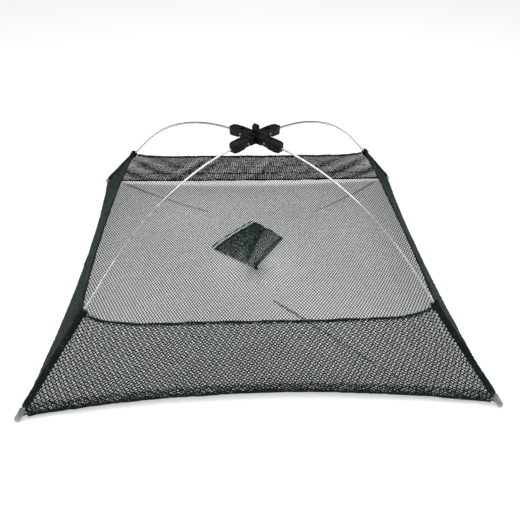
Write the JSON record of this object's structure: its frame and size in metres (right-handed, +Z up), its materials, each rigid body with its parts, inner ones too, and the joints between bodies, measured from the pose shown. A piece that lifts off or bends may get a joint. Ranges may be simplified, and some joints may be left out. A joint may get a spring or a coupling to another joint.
{
  "type": "folding crab trap",
  "caption": "Square netting basin held open by sprung steel rods that hinge on a cross-shaped hub and fold down together, with a bait pocket.",
  "frame": {"origin": "on the ground, under the middle of the hub; the rods' end caps stand on z = 0", "axes": "+Z up; the front is -Y; the four rods run along the diagonals of X and Y"},
  "size_m": [0.5958, 0.5958, 0.2486],
  "materials": {
    "hub_plastic": "satin moulded",
    "pin_steel": "brushed",
    "rod_steel": "bright drawn",
    "cap_vinyl": "soft translucent",
    "netting": "knotted twine",
    "edge_cord": "twisted cord",
    "tie_twine": "whipped twine",
    "pocket_net": "fine netting",
    "drawstring_cord": "braided"
  },
  "bodies": {
    "hub": {"cross_bar_upper": "hub_plastic", "cross_bar_lower": "hub_plastic", "lifting_eye": "hub_plastic", "hinge_pin_front_left": "pin_steel", "hinge_pin_front_right": "pin_steel", "hinge_pin_back_right": "pin_steel", "hinge_pin_back_left": "pin_steel"},
    "arm_front_left": {"rod_socket_front_left": "hub_plastic", "rod_front_left": "rod_steel", "end_cap_front_left": "cap_vinyl", "corner_sleeve_front_left": "netting", "rim_tie_front_left": "tie_twine", "rim_cord_front_left": "edge_cord", "seam_cord_front_left": "edge_cord", "wall_net_front_left": "netting", "wall_net_left_front": "netting"},
    "arm_front_right": {"rod_socket_front_right": "hub_plastic", "rod_front_right": "rod_steel", "end_cap_front_right": "cap_vinyl", "corner_sleeve_front_right": "netting", "rim_tie_front_right": "tie_twine", "rim_cord_front_right": "edge_cord", "seam_cord_front_right": "edge_cord", "wall_net_right_front": "netting", "wall_net_front_right": "netting"},
    "arm_back_right": {"rod_socket_back_right": "hub_plastic", "rod_back_right": "rod_steel", "end_cap_back_right": "cap_vinyl", "corner_sleeve_back_right": "netting", "rim_tie_back_right": "tie_twine", "rim_cord_back_right": "edge_cord", "seam_cord_back_right": "edge_cord", "wall_net_back_right": "netting", "wall_net_right_back": "netting"},
    "arm_back_left": {"rod_socket_back_left": "hub_plastic", "rod_back_left": "rod_steel", "end_cap_back_left": "cap_vinyl", "corner_sleeve_back_left": "netting", "rim_tie_back_left": "tie_twine", "rim_cord_back_left": "edge_cord", "seam_cord_back_left": "edge_cord", "wall_net_left_back": "netting", "wall_net_back_left": "netting"},
    "floor_front": {"floor_net_front": "netting"},
    "floor_right": {"floor_net_right": "netting"},
    "floor_back": {"floor_net_back": "netting", "bait_pocket": "pocket_net", "pocket_drawstring": "drawstring_cord", "pocket_stitch": "tie_twine"},
    "floor_left": {"floor_net_left": "netting"}
  },
  "joints": [
    {"name": "fold_front_left", "type": "hinge", "parent": "hub", "child": "arm_front_left", "pos_m": [-0.01626, -0.01626, 0.229], "axis": [0.7071, -0.7071, 0], "range_deg": [0, 56], "deforming": ["rim_cord_front_left", "seam_cord_front_left", "wall_net_front_left", "wall_net_left_front"]},
    {"name": "fold_front_right", "type": "hinge", "parent": "hub", "child": "arm_front_right", "pos_m": [0.01626, -0.01626, 0.229], "axis": [0.7071, 0.7071, 0], "range_deg": [0, 56], "deforming": ["rim_cord_front_right", "seam_cord_front_right", "wall_net_right_front", "wall_net_front_right"]},
    {"name": "fold_back_right", "type": "hinge", "parent": "hub", "child": "arm_back_right", "pos_m": [0.01626, 0.01626, 0.229], "axis": [-0.7071, 0.7071, 0], "range_deg": [0, 56], "deforming": ["rim_cord_back_right", "seam_cord_back_right", "wall_net_back_right", "wall_net_right_back"]},
    {"name": "fold_back_left", "type": "hinge", "parent": "hub", "child": "arm_back_left", "pos_m": [-0.01626, 0.01626, 0.229], "axis": [-0.7071, -0.7071, 0], "range_deg": [0, 56], "deforming": ["rim_cord_back_left", "seam_cord_back_left", "wall_net_left_back", "wall_net_back_left"]},
    {"name": "gather_front", "type": "hinge", "parent": "hub", "child": "floor_front", "pos_m": [0, -0.03864, 0.0358], "axis": [1, 0, 0], "range_deg": [0, 83.18], "deforming": ["floor_net_front"]},
    {"name": "gather_right", "type": "hinge", "parent": "hub", "child": "floor_right", "pos_m": [0.03864, 0, 0.0358], "axis": [0, 1, 0], "range_deg": [0, 83.18], "deforming": ["floor_net_right"]},
    {"name": "gather_back", "type": "hinge", "parent": "hub", "child": "floor_back", "pos_m": [0, 0.03864, 0.0358], "axis": [-1, 0, 0], "range_deg": [0, 83.18], "deforming": ["floor_net_back", "bait_pocket", "pocket_drawstring", "pocket_stitch"]},
    {"name": "gather_left", "type": "hinge", "parent": "hub", "child": "floor_left", "pos_m": [-0.03864, 0, 0.0358], "axis": [0, -1, 0], "range_deg": [0, 83.18], "deforming": ["floor_net_left"]}
  ],
  "couplings": [
    {"joint": "fold_front_right", "follows": "fold_front_left", "ratio": 1},
    {"joint": "fold_back_right", "follows": "fold_front_left", "ratio": 1},
    {"joint": "fold_back_left", "follows": "fold_front_left", "ratio": 1},
    {"joint": "gather_front", "follows": "fold_front_left", "ratio": 1.4853},
    {"joint": "gather_right", "follows": "fold_front_left", "ratio": 1.4853},
    {"joint": "gather_back", "follows": "fold_front_left", "ratio": 1.4853},
    {"joint": "gather_left", "follows": "fold_front_left", "ratio": 1.4853}
  ]
}
